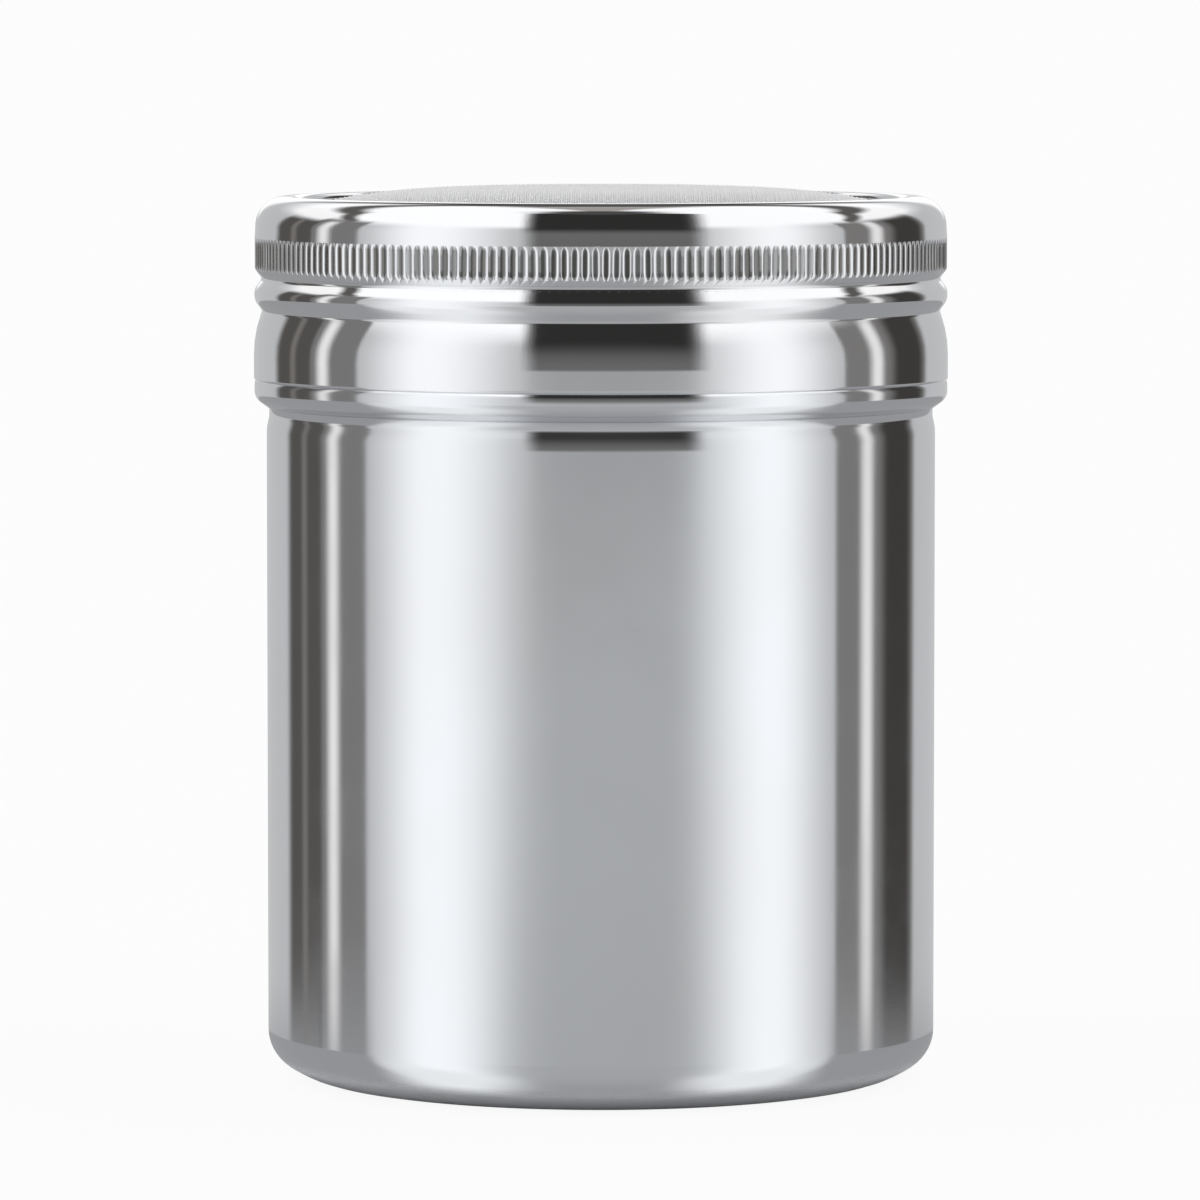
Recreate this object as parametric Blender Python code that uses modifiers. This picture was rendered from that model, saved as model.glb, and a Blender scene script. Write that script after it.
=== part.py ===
# Chocolate shaker: a drawn steel canister, and a turn-off lid that carries a mesh screen.
# Blender 4.5, metres, +Z up. The origin is the middle of the base, on the turning axis.

import math

import bmesh
import bpy

mm = 0.001

# Clearances
touch_gap = 0.3 * mm           # between pieces that seat on or run past each other
mesh_gap = 0.1 * mm            # between the screen and the channel that grips it

# Overall width, which the radii below are measured in from
skirt_radius = 35.0 * mm

# Canister
body_inset = 1.28 * mm         # wall inside the lid's skirt
canister_sheet = 0.5 * mm
base_corner_width = 4.42 * mm  # the wall slopes in to the base over this width and height,
base_corner_height = 2.4 * mm  # with a round at each end of the slope
base_corner_round = 4.0 * mm
base_foot_round = 7.0 * mm
base_ring_width = 10.5 * mm    # from the wall in to the raised middle of the base
base_panel_rise = 0.6 * mm
base_panel_round = 1.0 * mm
crease_height = 67.7 * mm      # where the wall meets the stop bead
crease_depth = 0.22 * mm
draw_in_length = 2.4 * mm      # the wall draws in over this length below the crease
stop_bead_inset = 0.06 * mm
stop_bead_height = 2.7 * mm
stop_bead_foot = 1.05 * mm     # height of the sloping underside of the bead
stop_bead_round = 1.4 * mm
curl_round = 0.75 * mm         # the mouth is curled inwards with this radius
curl_drop = 1.4 * mm

# Lid shell
lid_height = 18.3 * mm
lid_sheet = 0.5 * mm
shoulder_inset = 0.1 * mm
shoulder_round = 3.0 * mm
rim_width = 4.5 * mm              # from the shoulder band in to the top opening
lip_round = 0.55 * mm
lip_drop = 0.65 * mm
groove_depth = 0.75 * mm
bead_inset = 0.03 * mm
lower_groove_share = 0.3689       # groove heights above the skirt's edge, of the lid's height
upper_groove_share = 0.551
groove_round = 0.45 * mm
groove_slope_share = 0.75         # radial over axial on the grooves' flanks
flare_slope_share = 0.45          # the same on the long flare down to the skirt
flare_round = 3.0 * mm
shoulder_foot_round = 0.9 * mm

# Two-start thread: two ridges on the canister's neck and two inside the skirt
thread_starts = 2
thread_pitch = 3.2 * mm
thread_embed = 0.325 * mm         # how far a ridge is sunk in the sheet that carries it
thread_headroom = 0.983 * mm      # highest ridge below the foot of the flare
thread_inset = 0.85 * mm          # lowest ridge above the skirt's edge
thread_end_share = 0.7            # section of a ridge at its ends, of the full one
thread_taper_share = 0.15         # part of a ridge's length that tapers, at each end

# Mesh screen, its edge channel and the ring that holds them in the lid
screen_thickness = 0.5 * mm
screen_pitch = 5.0 * mm           # spacing of the coarse net that stands in for the fine weave
screen_bar = 0.5 * mm
dome_rise = 2.45 * mm             # the screen is pressed up into a dome that stands above the rim
dome_inset = 0.4 * mm             # from the channel's edge in to the foot of the dome
dome_fullness = 4                 # power of the dome's curve: 2 is a bowl, more is flatter on top
channel_sheet = 0.25 * mm
channel_width = 1.1 * mm
ring_sheet = 0.5 * mm
ring_height = 3.4 * mm
ring_round = 0.8 * mm

# Smoothness
turn_steps = 48
weld_distance = 0.01 * mm
turn_weld_distance = 0.05 * mm
fillet_step = math.radians(30)
thread_step = math.radians(8)

# Radii and heights that follow from the sizes above
body_radius = skirt_radius - body_inset
crease_radius = body_radius - crease_depth
stop_bead_radius = skirt_radius - stop_bead_inset
base_panel_radius = body_radius - base_ring_width
shoulder_radius = skirt_radius - shoulder_inset
opening_radius = shoulder_radius - rim_width
groove_radius = skirt_radius - groove_depth
bead_radius = skirt_radius - bead_inset
lower_groove_height = lid_height * lower_groove_share
upper_groove_height = lid_height * upper_groove_share
groove_flank = math.hypot(1, groove_slope_share)
groove_corner = groove_radius - groove_round * (groove_flank - 1)
flare_foot = lower_groove_height - (skirt_radius - groove_corner) / flare_slope_share
neck_radius = groove_radius - lid_sheet * groove_flank - touch_gap

stop_bead_top = crease_height + stop_bead_height
lid_base = stop_bead_top + touch_gap
rim_top = lid_base + lid_height
channel_top = rim_top - lid_sheet - touch_gap
channel_height = screen_thickness + 2 * (mesh_gap + channel_sheet)
channel_inner = opening_radius + lid_sheet + touch_gap
channel_outer = channel_inner + channel_width
screen_radius = channel_outer - channel_sheet - mesh_gap
dome_radius = channel_inner - dome_inset
ring_top = channel_top - channel_height - touch_gap
ring_outer = shoulder_radius - lid_sheet - touch_gap
mouth_height = ring_top - ring_sheet - touch_gap

thread_rise = flare_foot - thread_headroom - thread_inset
skirt_inner = skirt_radius - lid_sheet
thread_round = (skirt_inner + thread_embed - neck_radius - touch_gap) / 2
neck_thread_radius = skirt_inner - touch_gap - thread_round
lid_thread_radius = neck_radius + touch_gap + thread_round


def clear_scene():
    for item in list(bpy.data.objects):
        bpy.data.objects.remove(item, do_unlink=True)


def make_collection(name):
    collection = bpy.data.collections.new(name)
    bpy.context.scene.collection.children.link(collection)
    return collection


def make_material(name, colour, roughness, metallic):
    material = bpy.data.materials.new(name)
    material.use_nodes = True
    shader = material.node_tree.nodes["Principled BSDF"]
    shader.inputs["Base Color"].default_value = (*colour, 1)
    shader.inputs["Roughness"].default_value = roughness
    shader.inputs["Metallic"].default_value = metallic
    return material


def unit(a, b):
    across, up = b[0] - a[0], b[1] - a[1]
    length = math.hypot(across, up)
    return across / length, up / length


def round_corners(corners):
    """Points of a path of (radius, height, fillet) corners, with each fillet as an arc."""
    points = [corners[0][:2]]
    for before, corner, after in zip(corners, corners[1:], corners[2:]):
        into, out = unit(before, corner), unit(corner, after)
        turn = math.atan2(into[0] * out[1] - into[1] * out[0], into[0] * out[0] + into[1] * out[1])
        fillet = corner[2]
        if fillet <= 0 or abs(turn) < math.radians(1):
            points.append(corner[:2])
            continue
        reach = fillet * math.tan(abs(turn) / 2)
        side = math.copysign(1, turn)
        start = corner[0] - into[0] * reach, corner[1] - into[1] * reach
        centre = start[0] - side * fillet * into[1], start[1] + side * fillet * into[0]
        first = math.atan2(start[1] - centre[1], start[0] - centre[0])
        count = max(1, math.ceil(abs(turn) / fillet_step))
        for step in range(count + 1):
            angle = first + turn * step / count
            points.append((centre[0] + fillet * math.cos(angle), centre[1] + fillet * math.sin(angle)))
    points.append(corners[-1][:2])
    return points


def offset_right(corners, distance):
    """The same path moved to its right by a sheet's thickness, with mitred corners."""
    moved = []
    for index, corner in enumerate(corners):
        into = unit(corners[index - 1], corner) if index > 0 else unit(corner, corners[index + 1])
        out = unit(corner, corners[index + 1]) if index < len(corners) - 1 else into
        turn = math.atan2(into[0] * out[1] - into[1] * out[0], into[0] * out[0] + into[1] * out[1])
        normal = into[1] + out[1], -into[0] - out[0]
        stretch = distance / (1 + into[0] * out[0] + into[1] * out[1])
        fillet = corner[2] + math.copysign(distance, turn) if corner[2] > 0 and turn else 0
        moved.append((corner[0] + normal[0] * stretch, corner[1] + normal[1] * stretch, max(fillet, 0)))
    return moved


def turned_object(name, profile, closed, material, collection):
    """A profile of (radius, height) points, turned round Z by a Screw modifier."""
    mesh = bpy.data.meshes.new(name)
    shape = bmesh.new()
    verts = [shape.verts.new((radius, 0, height)) for radius, height in profile]
    for first, second in zip(verts, verts[1:]):
        shape.edges.new((first, second))
    if closed:
        shape.edges.new((verts[-1], verts[0]))
    shape.to_mesh(mesh)
    shape.free()
    item = bpy.data.objects.new(name, mesh)
    collection.objects.link(item)
    mesh.materials.append(material)
    screw = item.modifiers.new("turned", "SCREW")
    screw.axis = "Z"
    screw.angle = math.tau
    screw.steps = screw.render_steps = turn_steps
    screw.use_merge_vertices = True
    screw.merge_threshold = turn_weld_distance
    screw.use_smooth_shade = True
    return item


def sheet_ring(name, outer_corners, thickness, material, collection):
    """A ring of sheet metal: its outer face runs top to bottom, and its inner face comes back up."""
    outer = round_corners(outer_corners)
    inner = round_corners(offset_right(outer_corners, thickness))
    return turned_object(name, inner[::-1] + outer, True, material, collection)


def as_tool(item):
    item.hide_render = True
    item.display_type = "WIRE"


def curve_to_mesh(curve_object, collection):
    """Swap a curve object for a welded mesh object of the same name."""
    graph = bpy.context.evaluated_depsgraph_get()
    mesh = bpy.data.meshes.new_from_object(curve_object.evaluated_get(graph))
    name, place = curve_object.name, curve_object.matrix_world.copy()
    bpy.data.objects.remove(curve_object, do_unlink=True)
    shape = bmesh.new()
    shape.from_mesh(mesh)
    bmesh.ops.remove_doubles(shape, verts=shape.verts, dist=weld_distance)
    shape.to_mesh(mesh)
    shape.free()
    item = bpy.data.objects.new(name, mesh)
    item.matrix_world = place
    collection.objects.link(item)
    return item


def thread_ridge(name, radius, base, start_angle, collection):
    """A round ridge that climbs a right-hand helix and tapers at both ends."""
    lead = thread_starts * thread_pitch
    sweep = math.tau * thread_rise / lead
    count = math.ceil(sweep / thread_step)
    curve = bpy.data.curves.new(name, "CURVE")
    curve.dimensions = "3D"
    curve.bevel_depth = thread_round
    curve.bevel_resolution = 1
    curve.use_fill_caps = True
    spline = curve.splines.new("POLY")
    spline.points.add(count)
    for index, point in enumerate(spline.points):
        along = index / count
        angle = start_angle + sweep * along
        height = base + thread_rise * along
        point.co = (radius * math.cos(angle), radius * math.sin(angle), height, 1)
        end = min(1, min(along, 1 - along) / thread_taper_share)
        point.radius = thread_end_share + (1 - thread_end_share) * end
    item = bpy.data.objects.new(name, curve)
    collection.objects.link(item)
    bpy.context.view_layer.update()
    return curve_to_mesh(item, collection)


def add_threads(item, radius, base, phase, collection):
    """Join one ridge for each start of the thread to a turned shell."""
    for start in range(thread_starts):
        angle = phase + math.tau * start / thread_starts
        ridge = thread_ridge(f"{item.name}_thread_{start}", radius, base, angle, collection)
        ridge.parent = item.parent
        as_tool(ridge)
        union = item.modifiers.new(f"thread {start}", "BOOLEAN")
        union.operation = "UNION"
        union.object = ridge


def build_canister(material, parts, tools):
    panel_edge = base_panel_radius + base_panel_rise
    corners = [
        (neck_radius - 2 * curl_round, mouth_height - curl_drop, 0),
        (neck_radius - 2 * curl_round, mouth_height, curl_round),
        (neck_radius, mouth_height, curl_round),
        (neck_radius, stop_bead_top, 0),
        (stop_bead_radius, stop_bead_top, 0),
        (stop_bead_radius, crease_height + stop_bead_foot, stop_bead_round),
        (crease_radius, crease_height, 0),
        (body_radius, crease_height - draw_in_length, draw_in_length),
        (body_radius, base_corner_height, base_corner_round),
        (body_radius - base_corner_width, 0, base_foot_round),
        (panel_edge, 0, base_panel_round),
        (base_panel_radius, base_panel_rise, base_panel_round),
        (0, base_panel_rise, 0),
    ]
    outer = round_corners(corners)
    inner = round_corners(offset_right(corners, canister_sheet))
    item = turned_object("canister", inner[::-1] + outer, False, material, parts)
    add_threads(item, neck_thread_radius, lid_base + thread_inset, 0, tools)
    return item


def build_lid_shell(material, parent, parts, tools):
    bead_middle = (lower_groove_height + upper_groove_height) / 2
    bead_corner = groove_corner + groove_slope_share * (upper_groove_height - bead_middle)
    bead_round = (bead_corner - bead_radius) / (groove_flank - 1)
    shoulder_foot = upper_groove_height + (shoulder_radius - groove_corner) / groove_slope_share
    corners = [
        (opening_radius, lid_height - lip_drop, 0),
        (opening_radius, lid_height, lip_round),
        (shoulder_radius, lid_height, shoulder_round),
        (shoulder_radius, shoulder_foot, shoulder_foot_round),
        (groove_corner, upper_groove_height, groove_round),
        (bead_corner, bead_middle, bead_round),
        (groove_corner, lower_groove_height, groove_round),
        (skirt_radius, flare_foot, flare_round),
        (skirt_radius, 0, 0),
    ]
    item = sheet_ring("lid_shell", corners, lid_sheet, material, parts)
    item.parent = parent
    between_starts = math.pi / thread_starts
    add_threads(item, lid_thread_radius, thread_inset, between_starts, tools)
    return item


def build_retaining_ring(material, parent, parts):
    top = ring_top - lid_base
    corners = [
        (channel_inner, top, 0),
        (ring_outer, top, ring_round),
        (ring_outer, top - ring_height, 0),
    ]
    item = sheet_ring("retaining_ring", corners, ring_sheet, material, parts)
    item.parent = parent
    return item


def build_mesh_rim(material, parent, parts):
    """Channel section folded over the edge of the screen, open towards the middle."""
    top = channel_top - lid_base
    corners = [
        (channel_inner, top, 0),
        (channel_outer, top, 0),
        (channel_outer, top - channel_height, 0),
        (channel_inner, top - channel_height, 0),
    ]
    item = sheet_ring("mesh_rim", corners, channel_sheet, material, parts)
    item.parent = parent
    return item


def closed_spline(curve, points):
    spline = curve.splines.new("POLY")
    spline.points.add(len(points) - 1)
    for point, (x, y) in zip(spline.points, points):
        point.co = (x, y, 0, 1)
    spline.use_cyclic_u = True


def press_dome(mesh):
    """Give a round flat net its border, and press the net up inside it."""
    shape = bmesh.new()
    shape.from_mesh(mesh)
    rim = [edge for edge in shape.edges if edge.is_boundary
           and min(vert.co.xy.length for vert in edge.verts) > dome_radius - weld_distance]
    border = bmesh.ops.extrude_edge_only(shape, edges=rim)["geom"]
    for vert in border:
        if isinstance(vert, bmesh.types.BMVert):
            vert.co *= screen_radius / dome_radius
    for vert in shape.verts:
        share = min(1, vert.co.xy.length / dome_radius)
        vert.co.z = dome_rise * (1 - share ** dome_fullness)
    bmesh.ops.recalc_face_normals(shape, faces=shape.faces)
    shape.to_mesh(mesh)
    shape.free()


def build_mesh_screen(material, parent, parts):
    """A domed net on a square pitch, with a plain border where the channel grips it."""
    curve = bpy.data.curves.new("mesh_screen", "CURVE")
    curve.dimensions = "2D"
    curve.fill_mode = "BOTH"
    angles = [math.tau * step / turn_steps for step in range(turn_steps)]
    closed_spline(curve, [(dome_radius * math.cos(angle), dome_radius * math.sin(angle)) for angle in angles])
    half_hole = (screen_pitch - screen_bar) / 2
    reach = math.ceil(dome_radius / screen_pitch)
    for row in range(-reach, reach + 1):
        for column in range(-reach, reach + 1):
            x, y = column * screen_pitch, row * screen_pitch
            if math.hypot(abs(x) + half_hole, abs(y) + half_hole) < dome_radius - screen_bar:
                closed_spline(curve, [(x - half_hole, y - half_hole), (x - half_hole, y + half_hole),
                                      (x + half_hole, y + half_hole), (x + half_hole, y - half_hole)])
    curve.materials.append(material)
    flat = bpy.data.objects.new("mesh_screen", curve)
    parts.objects.link(flat)
    bpy.context.view_layer.update()
    item = curve_to_mesh(flat, parts)
    press_dome(item.data)
    item.location.z = channel_top - channel_height / 2 - lid_base
    item.parent = parent
    sheet = item.modifiers.new("sheet", "SOLIDIFY")
    sheet.thickness = screen_thickness
    sheet.offset = 0
    return item


def make_empty(name, parent, height, collection):
    empty = bpy.data.objects.new(name, None)
    empty.location.z = height
    empty.parent = parent
    collection.objects.link(empty)
    return empty


def main():
    clear_scene()
    parts = make_collection("chocolate_shaker")
    tools = make_collection("cutters")
    polished = make_material("polished steel", (0.66, 0.67, 0.69), 0.12, 1.0)
    body_steel = make_material("satin polished steel", (0.64, 0.65, 0.67), 0.22, 1.0)
    ring_steel = make_material("plain steel", (0.58, 0.59, 0.6), 0.35, 1.0)
    wire_steel = make_material("wire mesh steel", (0.55, 0.56, 0.57), 0.4, 1.0)
    canister = build_canister(body_steel, parts, tools)
    rising = make_empty("lid_rises_here", canister, lid_base, parts)
    turning = make_empty("lid_turns_here", rising, 0, parts)
    build_mesh_screen(wire_steel, rising, parts)
    build_mesh_rim(ring_steel, rising, parts)
    build_retaining_ring(ring_steel, turning, parts)
    build_lid_shell(polished, turning, parts, tools)


main()
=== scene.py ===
import math
import random

import bmesh
import bpy
from mathutils import Matrix, Vector


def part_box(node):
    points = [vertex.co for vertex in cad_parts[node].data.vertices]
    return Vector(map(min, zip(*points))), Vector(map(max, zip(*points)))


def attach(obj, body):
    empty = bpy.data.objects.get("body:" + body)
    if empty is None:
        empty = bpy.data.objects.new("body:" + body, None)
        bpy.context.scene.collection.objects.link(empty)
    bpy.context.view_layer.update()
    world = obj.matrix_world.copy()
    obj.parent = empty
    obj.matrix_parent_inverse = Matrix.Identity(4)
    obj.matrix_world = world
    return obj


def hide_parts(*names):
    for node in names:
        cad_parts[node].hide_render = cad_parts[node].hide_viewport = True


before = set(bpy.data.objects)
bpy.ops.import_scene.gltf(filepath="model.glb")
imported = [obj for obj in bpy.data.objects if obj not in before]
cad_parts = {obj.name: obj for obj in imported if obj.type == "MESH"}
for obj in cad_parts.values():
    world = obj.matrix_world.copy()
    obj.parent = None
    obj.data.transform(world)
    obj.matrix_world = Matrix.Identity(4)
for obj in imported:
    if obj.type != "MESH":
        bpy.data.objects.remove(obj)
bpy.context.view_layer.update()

mm = 0.001
origin = Vector((0, 0, 0))
upAxis = Vector((0, 0, 1))
print("frame loaded")

# How finely the turned pieces are drawn
smoothness = {
    "turnSteps": 216,
    "arcStep": math.radians(7),
    "arcLeast": math.radians(0.2),    # a turn smaller than this gets no arc
    "holdLine": 0.25 * mm,            # extra ring this far from each arc, so long faces shade flat
    "holdShare": 0.25,                # but none on faces where that is more than this share of the length
    "weld": 0.001 * mm,
    "edgeSegments": 2,
    "edgeAngle": math.radians(75),
}


# Shader maths: an expression on signals adds the nodes that work it out
class Signal:
    def __init__(self, tree, socket):
        self.tree = tree
        self.socket = socket

    def maths(self, operation, first, *others):
        inputs = dict(enumerate((first, *others)))
        return self.tree.add("ShaderNodeMath", {"operation": operation}, inputs)

    def __add__(self, other):
        return self.maths("ADD", self, other)

    def __radd__(self, other):
        return self.maths("ADD", other, self)

    def __sub__(self, other):
        return self.maths("SUBTRACT", self, other)

    def __rsub__(self, other):
        return self.maths("SUBTRACT", other, self)

    def __mul__(self, other):
        return self.maths("MULTIPLY", self, other)

    def __rmul__(self, other):
        return self.maths("MULTIPLY", other, self)

    def __truediv__(self, other):
        return self.maths("DIVIDE", self, other)

    def __neg__(self):
        return self.maths("MULTIPLY", self, -1)

    def __abs__(self):
        return self.maths("ABSOLUTE", self)

    def step(self, low, high):
        # eases from 0 at low to 1 at high
        settings = {"interpolation_type": "SMOOTHSTEP"}
        return self.tree.add("ShaderNodeMapRange", settings, {0: self, 1: low, 2: high})

    def band(self, span, soft):
        # 1 within the span, easing to 0 over the soft widths of its two ends
        (low, high), (softLow, softHigh) = span, soft
        return self.step(low - softLow, low + softLow) * (1 - self.step(high - softHigh, high + softHigh))


class NodeTree:
    def __init__(self, tree):
        self.tree = tree
        tree.nodes.clear()

    def add(self, kind, settings=None, inputs=None, outlet=0):
        node = self.tree.nodes.new(kind)
        for name, value in (settings or {}).items():
            setattr(node, name, value)
        for name, value in (inputs or {}).items():
            if isinstance(value, Signal):
                self.tree.links.new(value.socket, node.inputs[name])
            else:
                node.inputs[name].default_value = value
        return Signal(self, node.outputs[outlet]) if len(node.outputs) else node

    def mix(self, under, over, mask):
        settings = {"data_type": "RGBA"}
        return self.add("ShaderNodeMix", settings, {0: mask, 6: under, 7: over}, 2)

    def split(self, vector):
        node = self.tree.nodes.new("ShaderNodeSeparateXYZ")
        self.tree.links.new(vector.socket, node.inputs[0])
        return [Signal(self, outlet) for outlet in node.outputs]

    def join(self, x, y, z):
        return self.add("ShaderNodeCombineXYZ", None, {0: x, 1: y, 2: z})


# Steel finishes. Lengths of a pattern are in millimetres.
lidFinish = {"colour": (0.80, 0.805, 0.82), "shade": (0.77, 0.77, 0.775), "roughness": 0.045,
             "smudge": 0.03, "lineDepth": 0.0001, "streakDepth": 0.0011, "linePitch": 0.22}
canisterFinish = {"colour": (0.79, 0.80, 0.82), "shade": (0.76, 0.765, 0.775), "roughness": 0.075,
                  "smudge": 0.03, "lineDepth": 0.0002, "streakDepth": 0.0002, "linePitch": 0.3}
insideFinish = {"colour": (0.70, 0.705, 0.715), "shade": (0.62, 0.615, 0.60), "roughness": 0.24,
                "smudge": 0.09, "lineDepth": 0.002, "streakDepth": 0.001, "linePitch": 0.35}
ringFinish = {"colour": (0.68, 0.685, 0.69), "shade": (0.60, 0.595, 0.58), "roughness": 0.28,
              "smudge": 0.08, "lineDepth": 0.002, "streakDepth": 0.001, "linePitch": 0.25}
# the wires are satin and only half metal, and their near-white colour, paler than steel, paints in the pale
# sheen of the gauze
wireFinish = {"colour": (0.95, 0.952, 0.956), "shade": (0.91, 0.91, 0.912), "roughness": 0.75, "metal": 0.55,
              "smudge": 0.1, "lineDepth": 0.001, "streakDepth": 0.001, "linePitch": 0.12}
# painted shade: a dark colour painted into the hollows of the flutes, which are also rougher
fluteShadeFinish = {"paintedShadeColour": (0.19, 0.186, 0.18), "floorRoughness": 0.26}
# Wear shared by all of them. Spans are of the noise, which runs from 0 to 1.
wear = {
    "grain": 0.55,
    "lineStretch": 0.02,
    "streakSize": 0.5,
    "streakStretch": 0.12,
    "smudgeSize": 9.0,
    "smudgeSpan": (0.4, 0.75),
    "smudgeRelief": 0.5,
    "cloudSize": 26.0,
    "cloudSpan": (0.35, 0.75),
    "cloudStrength": 0.6,
    "scratchLength": 14.0,
    "scratchSpan": (0.66, 0.72),
    "scratchRoughness": 0.01,
}


def steel(name, finish, fluted=False):
    material = bpy.data.materials.new(name)
    material.use_nodes = True
    tree = NodeTree(material.node_tree)
    place = tree.add("ShaderNodeTexCoord", outlet="Object")
    x, y, z = tree.split(place)
    flat = tree.join(x, y, 0)
    radius = tree.add("ShaderNodeVectorMath", {"operation": "LENGTH"}, {0: flat}, "Value")
    # fine marks left by the spinning lathe run round the axis
    spun = tree.join(x * wear["lineStretch"] + radius, y * wear["lineStretch"], z)
    lines = noise(tree, spun, finish["linePitch"], 3)
    # and faint streaks from the polishing wheel run up it
    streaks = noise(tree, tree.join(x, y, z * wear["streakStretch"]), wear["streakSize"], 2)
    smudges = noise(tree, place, wear["smudgeSize"], 4)
    clouds = noise(tree, place, wear["cloudSize"], 2)
    scratchSpace = tree.join(radius * wear["scratchLength"], x + y, z * wear["scratchLength"])
    scratches = noise(tree, scratchSpace, wear["scratchLength"], 2).step(*wear["scratchSpan"])
    cloudy = clouds.step(*wear["cloudSpan"]) * wear["cloudStrength"]
    tint = tree.mix((*finish["colour"], 1), (*finish["shade"], 1), cloudy)
    roughness = finish["roughness"] + finish["smudge"] * smudges.step(*wear["smudgeSpan"])
    roughness = roughness + wear["scratchRoughness"] * scratches
    # painted shade darkens the hollows of the flutes, which are also made rougher
    if fluted:
        paintedShadeMask = tree.add("ShaderNodeAttribute", {"attribute_name": "paintedFluteShade"}, outlet="Fac")
        tint = tree.mix(tint, (*fluteShadeFinish["paintedShadeColour"], 1), paintedShadeMask)
        roughness = roughness + paintedShadeMask * (fluteShadeFinish["floorRoughness"] - finish["roughness"])
    relief = finish["lineDepth"] * (lines + wear["smudgeRelief"] * smudges) + finish["streakDepth"] * streaks
    bumps = tree.add("ShaderNodeBump", None, {"Strength": 1.0, "Distance": mm, "Height": relief})
    metal = finish.get("metal", 1.0)
    surface = {"Base Color": tint, "Metallic": metal, "Roughness": roughness, "Normal": bumps}
    shader = tree.add("ShaderNodeBsdfPrincipled", None, surface)
    tree.add("ShaderNodeOutputMaterial", None, {"Surface": shader})
    return material


def noise(tree, place, size, detail):
    # blotches about this many millimetres across
    inputs = {"Vector": place, "Scale": 1 / (size * mm), "Detail": detail, "Roughness": wear["grain"]}
    return tree.add("ShaderNodeTexNoise", None, inputs)


# the lid steel carries the painted shade in the hollows of its flutes
lidSteel = steel("lid steel", lidFinish, fluted=True)
canisterSteel = steel("canister steel", canisterFinish)
insideSteel = steel("inside steel", insideFinish)
ringSteel = steel("ring steel", ringFinish)
wireSteel = steel("wire steel", wireFinish)
print("finishes made")


# Turned sheet pieces: an outline in the XZ plane is spun round the axis
def runTo(bm, tip, place):
    start = tip.co.copy()
    length = (place - start).length
    hold = smoothness["holdLine"] / length
    for share in ([hold, 1 - hold, 1] if hold < smoothness["holdShare"] else [1]):
        tip = bmesh.ops.extrude_vert_indiv(bm, verts=[tip])["verts"][0]
        tip.co = start.lerp(place, share)
    return tip


def drawOutline(bm, corners):
    # corners are (radius, height, fillet) in millimetres
    points = [Vector((radius, 0, height)) * mm for radius, height, fillet in corners]
    tip = bm.verts.new(points[0])
    fillets = [fillet * mm for radius, height, fillet in corners]
    for before, corner, after, fillet in zip(points, points[1:], points[2:], fillets[1:]):
        into = (corner - before).normalized()
        out = (after - corner).normalized()
        turn = into.angle(out)
        if fillet == 0 or turn < smoothness["arcLeast"]:
            tip = runTo(bm, tip, corner)
            continue
        start = corner - into * fillet * math.tan(turn / 2)
        tip = runTo(bm, tip, start)
        inward = (out - into * into.dot(out)).normalized()
        steps = max(2, round(turn / smoothness["arcStep"]))
        arc = bmesh.ops.spin(bm, geom=[tip], cent=start + inward * fillet, axis=into.cross(inward),
                             angle=turn, steps=steps)
        tip = arc["geom_last"][0]
    runTo(bm, tip, points[-1])


def turnOutline(corners):
    bm = bmesh.new()
    drawOutline(bm, corners)
    bmesh.ops.spin(bm, geom=bm.verts[:] + bm.edges[:], cent=origin, axis=upAxis, angle=math.tau,
                   steps=smoothness["turnSteps"], use_merge=True)
    bmesh.ops.remove_doubles(bm, verts=bm.verts, dist=smoothness["weld"])
    bmesh.ops.recalc_face_normals(bm, faces=bm.faces)
    return bm


def finishPiece(name, bm, materials, node, body):
    for face in bm.faces:
        face.smooth = True
    mesh = bpy.data.meshes.new(name)
    bm.to_mesh(mesh)
    bm.free()
    for material in materials:
        mesh.materials.append(material)
    piece = bpy.data.objects.new(name, mesh)
    bpy.context.scene.collection.objects.link(piece)
    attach(piece, body)
    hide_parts(node)
    print(name, "made")
    return piece


def giveThickness(bm, sheet, insideSlot=0):
    inner = bmesh.ops.solidify(bm, geom=bm.faces[:], thickness=sheet * mm)["geom"]
    for face in inner:
        if isinstance(face, bmesh.types.BMFace):
            face.material_index = insideSlot


def roundEdges(piece, width):
    # takes the sharpness off the sheet's cut edges
    edges = piece.modifiers.new("edges", "BEVEL")
    edges.width = width * mm
    edges.segments = smoothness["edgeSegments"]
    edges.limit_method = "ANGLE"
    edges.angle_limit = smoothness["edgeAngle"]


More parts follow.
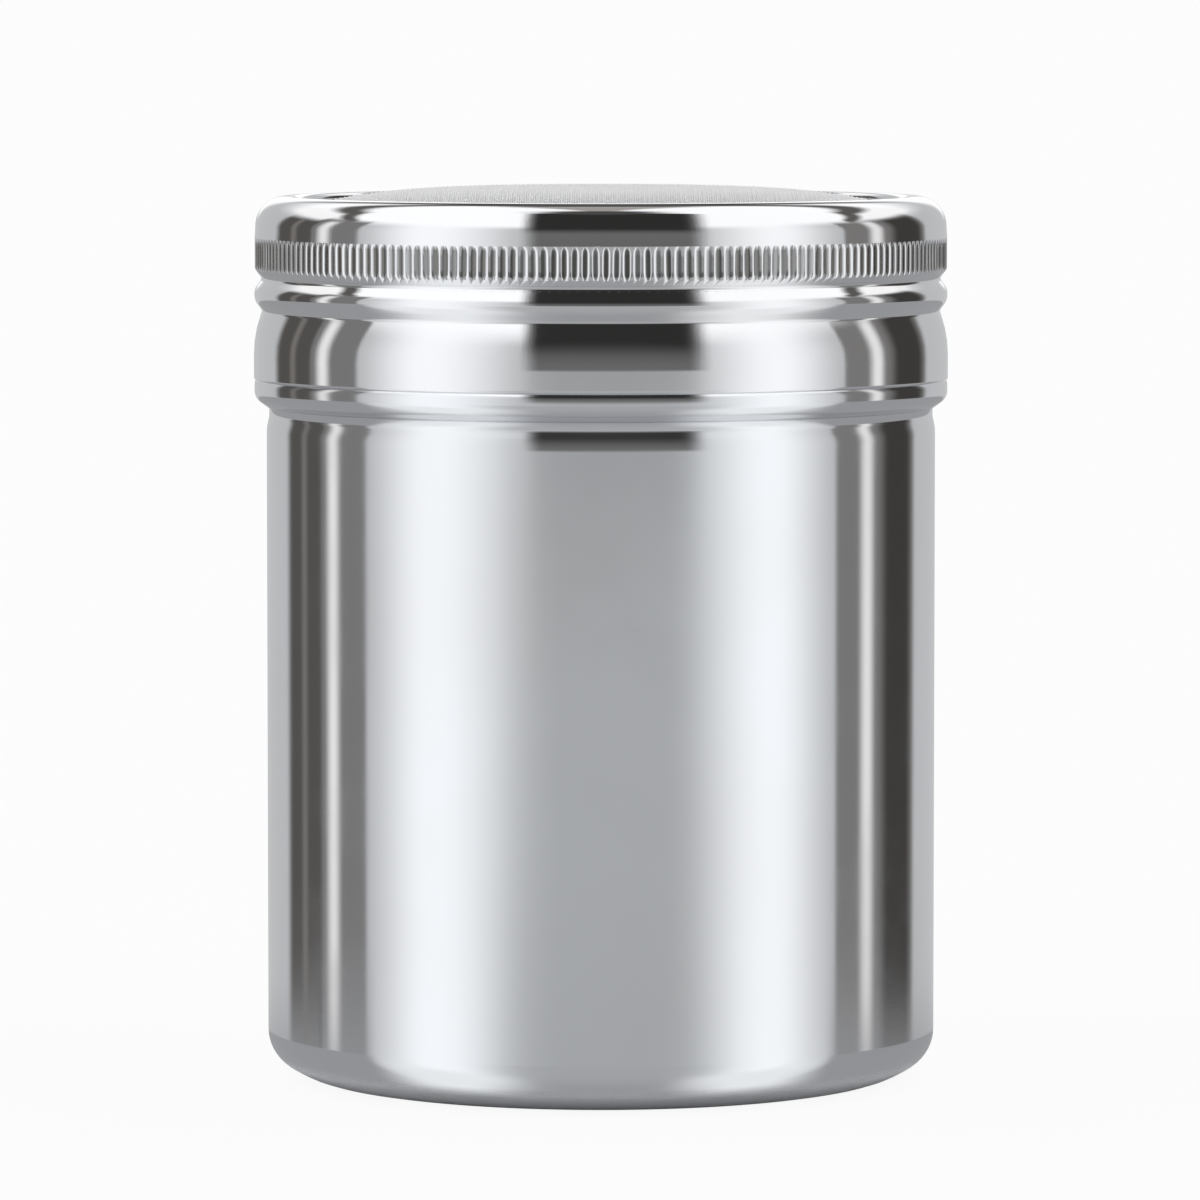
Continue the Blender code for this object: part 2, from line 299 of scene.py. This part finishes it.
def addThread(bm, thread, radius, base, phase, slot):
    # round ridges that climb a right-hand helix and thin out at both ends
    lead = thread["starts"] * thread["pitch"]
    sweep = math.tau * thread["rise"] / lead
    steps = round(sweep / thread["step"])
    for start in range(thread["starts"]):
        ridge = bmesh.new()
        standing = Matrix.Translation((radius * mm, 0, base * mm)) @ Matrix.Rotation(math.pi / 2, 4, "X")
        bmesh.ops.create_circle(ridge, segments=thread["sides"], radius=thread["round"] * mm,
                                matrix=standing)
        bmesh.ops.spin(ridge, geom=ridge.verts[:] + ridge.edges[:], cent=origin, axis=upAxis,
                       dvec=(0, 0, thread["rise"] * mm / steps), angle=sweep, steps=steps)
        for vert in ridge.verts:
            angle = math.atan2(vert.co.y, vert.co.x)
            along = angle / sweep
            fullness = min(1, min(along, 1 - along) / thread["taperShare"])
            size = thread["endShare"] + (1 - thread["endShare"]) * fullness
            height = base + thread["rise"] * along
            middle = Vector((radius * math.cos(angle), radius * math.sin(angle), height))
            vert.co = (middle * mm).lerp(vert.co, size)
        bmesh.ops.holes_fill(ridge, edges=ridge.edges)
        bmesh.ops.recalc_face_normals(ridge, faces=ridge.faces)
        for face in ridge.faces:
            face.material_index = slot
        turned = Matrix.Rotation(phase + math.tau * start / thread["starts"], 4, "Z")
        bmesh.ops.transform(ridge, matrix=turned, verts=ridge.verts)
        addMesh(bm, ridge)


def addMesh(bm, other):
    mesh = bpy.data.meshes.new("part")
    other.to_mesh(mesh)
    other.free()
    bm.from_mesh(mesh)
    bpy.data.meshes.remove(mesh)


# Levels shared by the pieces, from the frame
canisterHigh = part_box("canister")[1]
lidLow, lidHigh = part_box("lid_shell")
ringLow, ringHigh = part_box("retaining_ring")
rimLow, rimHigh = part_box("mesh_rim")
screenLow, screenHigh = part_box("mesh_screen")
lidTop = lidHigh.z / mm
lidBase = lidLow.z / mm
skirtRadius = lidHigh.x / mm

thread = {"starts": 2, "pitch": 3.2, "rise": 3.0, "round": 0.6, "inset": 0.85, "sides": 10,
          "step": math.radians(5), "endShare": 0.7, "taperShare": 0.15,
          "neckRadius": 33.6, "lidRadius": 34.225}

# Canister
canister = {
    "mouth": canisterHigh.z / mm,
    "neckRadius": 33.325,
    "sheet": 0.5,
    "edgeRound": 0.1,
    "curlRound": 0.75,
    "curlDrop": 1.4,
    "beadRadius": 34.94,
    "beadTop": lidBase - 0.01,    # a hair under the skirt, so only a fine line shows
    "beadTopRadius": 34.76,
    "beadTopDrop": 0.325,
    "beadTopRound": 1.4,
    "beadRound": 1.4,
    "beadFoot": 1.05,
    "creaseHeight": 67.7,
    "creaseRadius": 33.46,
    "drawInHigh": 66.85,
    "drawInLow": 65.75,
    "drawInRound": 0.7,
    "drawInEase": 5.0,
    "bodyRadius": 33.72,
    "cornerHeight": 2.4,
    "cornerRound": 4.0,
    "footRadius": 29.3,
    "footRound": 7.0,
    "panelEdge": 23.82,
    "panelRadius": 23.22,
    "panelRise": 0.6,
    "panelRound": 1.0,
}


def makeCanister():
    c = canister
    curled = c["neckRadius"] - 2 * c["curlRound"]
    bm = turnOutline([
        (curled, c["mouth"] - c["curlDrop"], 0),
        (curled, c["mouth"], c["curlRound"]),
        (c["neckRadius"], c["mouth"], c["curlRound"]),
        (c["neckRadius"], c["beadTop"], 0),
        (c["beadTopRadius"], c["beadTop"], 0),
        (c["beadRadius"], c["beadTop"] - c["beadTopDrop"], c["beadTopRound"]),
        (c["beadRadius"], c["creaseHeight"] + c["beadFoot"], c["beadRound"]),
        (c["creaseRadius"], c["creaseHeight"], 0),
        (c["creaseRadius"], c["drawInHigh"], c["drawInRound"]),
        (c["bodyRadius"], c["drawInLow"], c["drawInEase"]),
        (c["bodyRadius"], c["cornerHeight"], c["cornerRound"]),
        (c["footRadius"], 0, c["footRound"]),
        (c["panelEdge"], 0, c["panelRound"]),
        (c["panelRadius"], c["panelRise"], c["panelRound"]),
        (0, c["panelRise"], 0),
    ])
    giveThickness(bm, c["sheet"], 1)
    addThread(bm, thread, thread["neckRadius"], lidBase + thread["inset"], 0, 0)
    steels = [canisterSteel, insideSteel]
    body = finishPiece("canister_body", bm, steels, "canister", "canister")
    roundEdges(body, c["edgeRound"])


makeCanister()

# Lid shell. Heights are above the skirt's edge.
lid = {
    "height": lidTop - lidBase,
    "sheet": 0.5,
    "edgeRound": 0.04,
    "openingRadius": 30.4,
    "lipRound": 0.55,
    "lipDrop": 0.65,
    "shoulderRadius": 34.88,
    "shoulderRound": 3.0,
    "bandCrown": 0.06,            # the band leans in this much above the flutes
    "bandCrownHeight": 15.2,
    "shoulderFootRound": 0.6,
    "grooveCorner": 34.1375,
    "upperGroove": 10.05,
    "lowerGroove": 6.82,
    "grooveRound": 0.4,
    "grooveSlope": 0.75,
    "beadRadius": 34.93,
    "flareSlope": 0.36,
    "flareRound": 12.0,
    "skirtTuck": 0.01,
}
flutes = {
    "count": 216,
    "columns": 8,
    "foot": 10.65,                # lowest point above the skirt's edge, out on the groove's flank
    "top": 14.2,
    "depth": 0.11,
    "seed": 7,
    # how unevenly they are pressed, as shares
    "leanSwing": 0.05,
    "widthSwing": 0.05,
    "depthSwing": 0.12,
    "paintedShadeStart": 0.6,            # share of the depth from which the hollow gets painted shade and turns rough
    # across one flute, from one land to the next: place over pitch, and depth
    "across": [(-0.5, 0), (-0.42, 0.04), (-0.31, 0.5), (-0.2, 0.95),
               (0, 1), (0.2, 0.95), (0.31, 0.5), (0.42, 0.04)],
    # up one flute: distance from its end, spread of the columns, and depth
    "lowEnd": [(0, 0.1, 0), (0.12, 0.3, 0.45), (0.4, 0.66, 0.85), (0.75, 0.97, 1), (1.1, 1, 1)],
    "topEnd": [(0, 0.12, 0), (0.1, 0.42, 0.45), (0.25, 0.68, 0.82), (0.48, 0.9, 1), (0.85, 1, 1)],
    "holdLine": 0.05,             # extra ring above the flutes, so the band over them shades flat
}


def alongFlute(level):
    # (spread, depth) at a height above the skirt's edge, from the nearer end of the flute
    low, high = level - flutes["foot"], flutes["top"] - level
    inset, stops = min((low, flutes["lowEnd"]), (high, flutes["topEnd"]))
    for (start, spread, depth), (end, nextSpread, nextDepth) in zip(stops, stops[1:]):
        if inset <= end:
            share = (inset - start) / (end - start)
            return spread + (nextSpread - spread) * share, depth + (nextDepth - depth) * share
    return stops[-1][1:]


def onFlutes(vert):
    # height above the skirt's edge, or None off the fluted band
    level = vert.co.z / mm - lidBase
    outward = math.hypot(vert.co.x, vert.co.y) / mm
    spare = smoothness["weld"] / mm
    fluted = flutes["foot"] - spare <= level <= flutes["top"] + spare
    return level if fluted and outward > lid["grooveCorner"] else None


def pressFlutes(bm):
    rough = random.Random(flutes["seed"])
    swing = [[rough.uniform(-1, 1) for _ in range(3)] for _ in range(flutes["count"])]
    rings = [edge for edge in bm.edges
             if abs(edge.verts[0].co.z - edge.verts[1].co.z) < smoothness["weld"]
             and onFlutes(edge.verts[0]) is not None]
    bmesh.ops.subdivide_edges(bm, edges=rings, cuts=flutes["columns"] - 1, use_grid_fill=True)
    # mask for the painted shade, from the depth of each flute's hollow
    paintedShadeMask = bm.verts.layers.float.new("paintedFluteShade")
    pitch = math.tau / flutes["count"]
    flat = math.cos(pitch / 2)
    for vert in bm.verts:
        level = onFlutes(vert)
        if level is None:
            continue
        spread, press = alongFlute(level)
        angle = math.atan2(vert.co.y, vert.co.x)
        column = round(angle / pitch * flutes["columns"])
        flute, part = divmod(column, flutes["columns"])
        # the new points lie on a chord, so they go back out to the circle first
        outward = math.hypot(vert.co.x, vert.co.y) * math.cos(angle - (flute + 0.5) * pitch) / flat / mm
        across, depth = flutes["across"][part]
        lean, width, sunk = swing[flute % flutes["count"]]
        if part:
            climb = (level - flutes["foot"]) / (flutes["top"] - flutes["foot"]) - 0.5
            across = across * spread * (1 + flutes["widthSwing"] * width)
            across = across + flutes["leanSwing"] * lean * climb
            depth = depth * press * (1 + flutes["depthSwing"] * sunk)
            # painted shade in the deepest part of the hollow
            vert[paintedShadeMask] = max(0, depth - flutes["paintedShadeStart"]) / (1 - flutes["paintedShadeStart"])
        angle = (flute + 0.5 + across) * pitch
        reach = (outward - flutes["depth"] * depth) * mm
        vert.co.x = reach * math.cos(angle)
        vert.co.y = reach * math.sin(angle)


def makeLidShell():
    s = lid
    flank = math.hypot(1, s["grooveSlope"])
    beadMiddle = (s["lowerGroove"] + s["upperGroove"]) / 2
    beadCorner = s["grooveCorner"] + s["grooveSlope"] * (s["upperGroove"] - beadMiddle)
    beadRound = (beadCorner - s["beadRadius"]) / (flank - 1)
    shoulderFoot = s["upperGroove"] + (s["shoulderRadius"] - s["grooveCorner"]) / s["grooveSlope"]
    flareFoot = s["lowerGroove"] - (skirtRadius - s["grooveCorner"]) / s["flareSlope"]
    ends = [flutes["top"] - inset for inset, spread, depth in flutes["topEnd"]]
    ends += [flutes["foot"] + inset for inset, spread, depth in flutes["lowEnd"][::-1]]
    lowestRow = shoulderFoot + s["shoulderFootRound"] / 2
    rows = [(s["shoulderRadius"], height, 0) for height in ends if height > lowestRow]
    corners = [
        (s["openingRadius"], s["height"] - s["lipDrop"], 0),
        (s["openingRadius"], s["height"], s["lipRound"]),
        (s["shoulderRadius"] - s["bandCrown"], s["height"], s["shoulderRound"]),
        (s["shoulderRadius"] - s["bandCrown"], s["bandCrownHeight"], 0),
        (s["shoulderRadius"], flutes["top"] + flutes["holdLine"], 0),
        *rows,
        (s["shoulderRadius"], shoulderFoot, s["shoulderFootRound"]),
        (s["grooveCorner"], s["upperGroove"], s["grooveRound"]),
        (beadCorner, beadMiddle, beadRound),
        (s["grooveCorner"], s["lowerGroove"], s["grooveRound"]),
        (skirtRadius, flareFoot, s["flareRound"]),
        (skirtRadius - s["skirtTuck"], 0, 0),
    ]
    bm = turnOutline([(radius, height + lidBase, fillet) for radius, height, fillet in corners])
    pressFlutes(bm)
    giveThickness(bm, s["sheet"], 1)
    addThread(bm, thread, thread["lidRadius"], lidBase + thread["inset"], math.pi / 2, 1)
    cover = finishPiece("lid_cover", bm, [lidSteel, insideSteel], "lid_shell", "lid")
    roundEdges(cover, s["edgeRound"])


makeLidShell()

# Retaining ring and the channel round the screen's edge
ring = {"sheet": 0.5, "cornerRound": 0.8, "foldRound": 0.3, "channelSheet": 0.25, "edgeRound": 0.06,
        "behindLip": 0.3}


def makeRetainingRing():
    outer, top = ringHigh.x / mm, ringHigh.z / mm
    inner = rimOpening()
    bm = turnOutline([
        (inner, top, 0),
        (outer, top, ring["cornerRound"]),
        (outer, ringLow.z / mm, 0),
    ])
    giveThickness(bm, ring["sheet"])
    holder = finishPiece("retaining_ring_turned", bm, [ringSteel], "retaining_ring", "lid")
    roundEdges(holder, ring["edgeRound"])


def rimOpening():
    return lid["openingRadius"] + lid["sheet"] + ring["behindLip"]


def makeMeshRim():
    outer, top, low = rimHigh.x / mm, rimHigh.z / mm, rimLow.z / mm
    bm = turnOutline([
        (rimOpening(), top, 0),
        (outer, top, ring["foldRound"]),
        (outer, low, ring["foldRound"]),
        (rimOpening(), low, 0),
    ])
    giveThickness(bm, ring["channelSheet"])
    channel = finishPiece("mesh_rim_folded", bm, [ringSteel], "mesh_rim", "mesh_insert")
    roundEdges(channel, ring["edgeRound"])


makeRetainingRing()
makeMeshRim()

# Woven screen: fine gauze pressed up into a dome inside its flat edge
screen = {"pitch": 0.45, "wire": 0.17, "sides": 4, "edgeGap": 0.05, "sheet": 0.5, "settle": 0.08,
          "domeRadius": 30.8, "fullness": 4}


def domeRise(x, y):
    share = min(1, math.hypot(x, y) / (screen["domeRadius"] * mm))
    return (screenHigh.z - screenLow.z - screen["sheet"] * mm) * (1 - share ** screen["fullness"])


def wovenWire(length, crossings, weave):
    # a straight rod along X, cut where the other wires cross it and bent over and under them
    wire = bmesh.new()
    lying = Matrix.Rotation(math.pi / 2, 4, "Y")
    bmesh.ops.create_cone(wire, cap_ends=True, segments=screen["sides"], radius1=screen["wire"] / 2 * mm,
                          radius2=screen["wire"] / 2 * mm, depth=length * mm, matrix=lying)
    lengthwise = [edge for edge in wire.edges
                  if abs(edge.verts[0].co.x - edge.verts[1].co.x) > length * mm / 2]
    bmesh.ops.subdivide_edges(wire, edges=lengthwise, cuts=crossings)
    for vert in wire.verts:
        phase = math.pi * (vert.co.x / (screen["pitch"] * mm) - 0.5)
        vert.co.z += weave * screen["wire"] / 2 * mm * math.cos(phase)
    return wire


def weaveWires(turn):
    # all the wires that run one way
    radius = screenHigh.x / mm - screen["edgeGap"]
    middle = Matrix.Translation((0, 0, screenLow.z + (screen["sheet"] / 2 - screen["settle"]) * mm))
    rows = int(radius / screen["pitch"] - 0.5)
    bm = bmesh.new()
    for row in range(-rows - 1, rows + 1):
        offset = (row + 0.5) * screen["pitch"]
        reach = int(math.sqrt(radius ** 2 - offset ** 2) / screen["pitch"] - 0.5)
        if reach < 1:
            continue
        wire = wovenWire((2 * reach + 1) * screen["pitch"], 2 * reach, 1 if row % 2 else -1)
        placing = middle @ Matrix.Rotation(turn, 4, "Z") @ Matrix.Translation((0, offset * mm, 0))
        bmesh.ops.transform(wire, matrix=placing, verts=wire.verts)
        for vert in wire.verts:
            vert.co.z += domeRise(vert.co.x, vert.co.y)
        addMesh(bm, wire)
    return bm


for name, turn in (("mesh_screen_warp", 0), ("mesh_screen_weft", math.pi / 2)):
    finishPiece(name, weaveWires(turn), [wireSteel], "mesh_screen", "mesh_insert")

# Floor
floor = {
    "size": 40.0,
    "colour": (0.86, 0.86, 0.865),
    "glow": 1.0,
    "glowShare": 0.92,
    "mirrorShare": 0.02,
    "mirrorReach": (30.5 * mm, 34 * mm),    # the steel shows it this far out, then the studio behind it
}


def makeFloor():
    bm = bmesh.new()
    bmesh.ops.create_grid(bm, x_segments=1, y_segments=1, size=floor["size"])
    mesh = bpy.data.meshes.new("floor")
    bm.to_mesh(mesh)
    bm.free()
    ground = bpy.data.objects.new("floor", mesh)
    bpy.context.scene.collection.objects.link(ground)
    material = bpy.data.materials.new("floor paper")
    material.use_nodes = True
    tree = NodeTree(material.node_tree)
    cameraRay, glossyRay, throughRay = rayKinds(tree)
    seen = cameraRay * floor["glowShare"] + (glossyRay + throughRay) * floor["mirrorShare"]
    paper = tree.add("ShaderNodeBsdfDiffuse", None, {"Color": (*floor["colour"], 1)})
    white = tree.add("ShaderNodeEmission", None, {"Color": (1, 1, 1, 1), "Strength": floor["glow"]})
    shown = tree.add("ShaderNodeMixShader", None, {0: seen, 1: paper, 2: white})
    place = tree.add("ShaderNodeTexCoord", outlet="Object")
    away = tree.add("ShaderNodeVectorMath", {"operation": "LENGTH"}, {0: place}, "Value")
    clear = tree.add("ShaderNodeBsdfTransparent")
    passed = glossyRay * away.step(*floor["mirrorReach"])
    shown = tree.add("ShaderNodeMixShader", None, {0: passed, 1: shown, 2: clear})
    tree.add("ShaderNodeOutputMaterial", None, {"Surface": shown})
    mesh.materials.append(material)


def rayKinds(tree):
    outlets = ("Is Camera Ray", "Is Glossy Ray", "Is Transmission Ray")
    return [tree.add("ShaderNodeLightPath", outlet=outlet) for outlet in outlets]


makeFloor()

# Studio round the shaker: a white background, and in front of it the lights and cards that the steel
# mirrors. Azimuth is in degrees from the front, right is plus, and elevation is above the horizon, with the
# soft width of each end in soft and lift. A later card hides an earlier one. A card with both set stands on
# the left and on the right, and one with onArch set follows the arch. One with over set runs on overhead or
# underfoot and widens on its way, and its elevation counts on past the highest or the lowest point.
allRound = (-400, 400)
allHeights = (-200, 200)
backdropLight = 0.975
arch = {"slope": 0.7, "start": -42, "top": 42}
studioCards = [
    {"name": "strip lights", "both": True, "azimuth": (30, 92), "soft": (8, 8), "elevation": allHeights,
     "lift": (1, 1), "light": (1.15, 1.165, 1.18)},
    {"name": "grey card in front", "azimuth": (-35, 40), "soft": (23, 20), "elevation": allHeights,
     "lift": (1, 1), "light": (0.495, 0.505, 0.512)},
    {"name": "grey card behind", "both": True, "azimuth": (76, 400), "soft": (15, 1),
     "elevation": allHeights, "lift": (1, 1), "light": (0.57, 0.577, 0.585)},
    {"name": "paper in front", "azimuth": (-30, 30), "soft": (20, 20), "elevation": (-200, -6.8),
     "lift": (1, 2), "light": (0.445, 0.453, 0.46)},
    {"name": "far floor", "azimuth": allRound, "soft": (1, 1), "elevation": (-200, -50), "lift": (1, 32),
     "light": (0.37, 0.375, 0.385)},
    {"name": "floor at the sides", "both": True, "azimuth": (86, 400), "soft": (3, 1),
     "elevation": (-200, -7.2), "lift": (1, 0.5), "light": (0.355, 0.36, 0.37)},
    {"name": "strip lights in the floor", "over": True, "both": True, "azimuth": (36, 86), "soft": (16, 22),
     "elevation": (-107, -40), "lift": (26, 14), "light": (1.0, 1.015, 1.025)},
    {"name": "white paper behind", "both": True, "azimuth": (168, 400), "soft": (5, 1),
     "elevation": (2, 17), "lift": (1.5, 4), "light": (1.3, 1.3, 1.3)},
    {"name": "softbox", "azimuth": allRound, "soft": (1, 1), "elevation": (25, 78), "lift": (9, 4),
     "light": (1.24, 1.24, 1.25)},
    {"name": "rear panel", "both": True, "azimuth": (167, 400), "soft": (4, 1), "elevation": (54, 84),
     "lift": (5, 4), "light": (0.42, 0.39, 0.37)},
    {"name": "rear gap", "both": True, "azimuth": (169, 400), "soft": (5, 1), "elevation": (20, 54),
     "lift": (4, 5), "light": (0.07, 0.066, 0.062)},
    {"name": "window", "both": True, "azimuth": (115, 150), "soft": (4, 5), "elevation": (25, 36),
     "lift": (3, 3), "light": (1.15, 1.14, 1.13)},
    {"name": "arch", "both": True, "onArch": True, "azimuth": (97, 400), "soft": (2, 1),
     "elevation": (-4, 4), "lift": (2.5, 2.5), "light": (0.12, 0.113, 0.107)},
    {"name": "left flag", "azimuth": (-114, -88), "soft": (1.2, 1.2), "elevation": (-7.2, 28),
     "lift": (0.5, 5), "light": (0.218, 0.214, 0.211)},
    {"name": "left dark screen", "azimuth": (-136, -112), "soft": (3, 1.2), "elevation": (-7.2, 21),
     "lift": (0.5, 4), "light": (0.1, 0.094, 0.088)},
    {"name": "left slit", "azimuth": (-107.8, -102.2), "soft": (2.4, 2.4), "elevation": (-7.2, 22),
     "lift": (0.5, 4), "light": (0.98, 0.965, 0.95)},
    {"name": "left thin line", "azimuth": (-125, -121.5), "soft": (1.5, 1.5), "elevation": (-7.2, 20),
     "lift": (0.5, 4), "light": (0.21, 0.198, 0.186)},
    {"name": "right flag", "azimuth": (88, 136.5), "soft": (1.2, 2.6), "elevation": (-7.2, 24),
     "lift": (0.5, 5), "light": (0.222, 0.216, 0.211)},
    {"name": "right dark screen", "azimuth": (113, 133.5), "soft": (4, 3.5), "elevation": (-7.2, 22),
     "lift": (0.5, 4), "light": (0.055, 0.051, 0.047)},
    {"name": "right slit", "azimuth": (101, 107), "soft": (2.6, 2.4), "elevation": (-7.2, 22),
     "lift": (0.5, 4), "light": (0.94, 0.925, 0.91)},
    {"name": "shade in front", "over": True, "azimuth": (-24, 34), "soft": (4, 5), "elevation": (-2, 88),
     "lift": (3, 2), "light": (0.165, 0.163, 0.16)},
    {"name": "dark stand in front", "over": True, "azimuth": (-24, 32), "soft": (4, 5),
     "elevation": (13, 88), "lift": (12, 2), "light": (0.032, 0.031, 0.03)},
    {"name": "gap overhead", "azimuth": allRound, "soft": (1, 1), "elevation": (81, 200), "lift": (3, 1),
     "light": (0.08, 0.077, 0.075)},
]
plainLight = 0.9    # what lights matt surfaces, beside the cards


def paintStudio():
    world = bpy.data.worlds.new("studio")
    bpy.context.scene.world = world
    world.use_nodes = True
    tree = NodeTree(world.node_tree)
    direction = tree.add("ShaderNodeTexCoord", outlet="Generated")
    x, y, z = tree.split(direction)
    degrees = 180 / math.pi
    azimuth = x.maths("ARCTAN2", x, -y) * degrees
    elevation = z.maths("ARCSINE", z) * degrees
    archLevel = x.maths("MINIMUM", abs(azimuth) * arch["slope"] + arch["start"], arch["top"])
    # for cards with over set: sideways from the upright arc through the front, and along that arc
    across = x / (1 - y) * 2 * degrees
    climb = x.maths("ARCTAN2", z, -y) * degrees
    cameraRay, glossyRay, throughRay = rayKinds(tree)
    plain = (plainLight, plainLight, plainLight, 1)
    white = (backdropLight, backdropLight, backdropLight, 1)
    light = tree.mix(plain, white, cameraRay + glossyRay + throughRay)
    offCamera = 1 - cameraRay
    for card in studioCards:
        around, height = (across, climb) if card.get("over") else (azimuth, elevation)
        around = abs(around) if card.get("both") else around
        height = height - archLevel if card.get("onArch") else height
        mask = around.band(card["azimuth"], card["soft"]) * height.band(card["elevation"], card["lift"])
        light = tree.mix(light, (*card["light"], 1), mask * offCamera)
    background = tree.add("ShaderNodeBackground", None, {"Color": light, "Strength": 1.0})
    tree.add("ShaderNodeOutputWorld", None, {"Surface": background})


paintStudio()

# Soft light from above, for the floor's shadow and the matt surfaces
keyLight = {"strength": 0.35, "angle": 70, "tilt": (18, 0, 12)}


def addKeyLight():
    lamp = bpy.data.lights.new("overhead light", "SUN")
    lamp.energy = keyLight["strength"]
    lamp.angle = math.radians(keyLight["angle"])
    item = bpy.data.objects.new("overhead light", lamp)
    item.rotation_euler = [math.radians(value) for value in keyLight["tilt"]]
    item.visible_glossy = False
    bpy.context.scene.collection.objects.link(item)


addKeyLight()

# Camera, fitted to the photograph's outline
cameraFit = {"distance": 825 * mm, "height": 108.1 * mm, "sideways": -0.09 * mm, "pitch": 4.155,
             "lens": 245.34, "sensor": 36, "farthest": 200}


def addCamera():
    lens = bpy.data.cameras.new("camera")
    lens.lens = cameraFit["lens"]
    lens.sensor_width = cameraFit["sensor"]
    lens.clip_end = cameraFit["farthest"]
    item = bpy.data.objects.new("camera", lens)
    item.location = (cameraFit["sideways"], -cameraFit["distance"], cameraFit["height"])
    item.rotation_euler = (math.radians(90 - cameraFit["pitch"]), 0, 0)
    bpy.context.scene.collection.objects.link(item)
    bpy.context.scene.camera = item


addCamera()
bpy.context.scene.view_settings.view_transform = "Standard"
print("studio ready")
